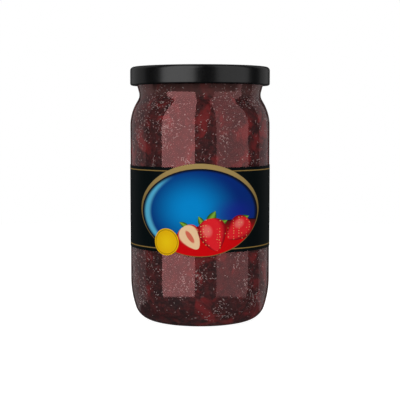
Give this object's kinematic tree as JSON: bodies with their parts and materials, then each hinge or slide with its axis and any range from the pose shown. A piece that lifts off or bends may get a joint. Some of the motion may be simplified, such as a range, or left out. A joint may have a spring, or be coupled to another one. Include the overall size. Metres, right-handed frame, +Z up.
{
  "type": "jam jar",
  "caption": "Closed round glass jar filled with dark red seeded jam, with a black twist-off metal lid and a black, gold and blue wrap label with an oval front.",
  "frame": {"origin": "centre of the jar's standing ring, on the surface that it stands on", "axes": "+Z up along the jar's axis, +X to the right as the label is faced, -Y towards the person who faces the label"},
  "size_m": [0.0862, 0.0862, 0.1553],
  "materials": {
    "clear_glass": "smooth clear container glass",
    "red_jam": "dark red strawberry jam with pale seeds and softer red fruit pieces",
    "black_lid": "semi-gloss black lacquer on thin sheet metal",
    "printed_label": "satin printed paper: black band with gold lines, blue oval with a gold crescent, red fruit and a yellow seal"
  },
  "bodies": {
    "root": {"glass_jar": "clear_glass", "jam": "red_jam", "lid": "black_lid", "label": "printed_label"}
  },
  "joints": []
}
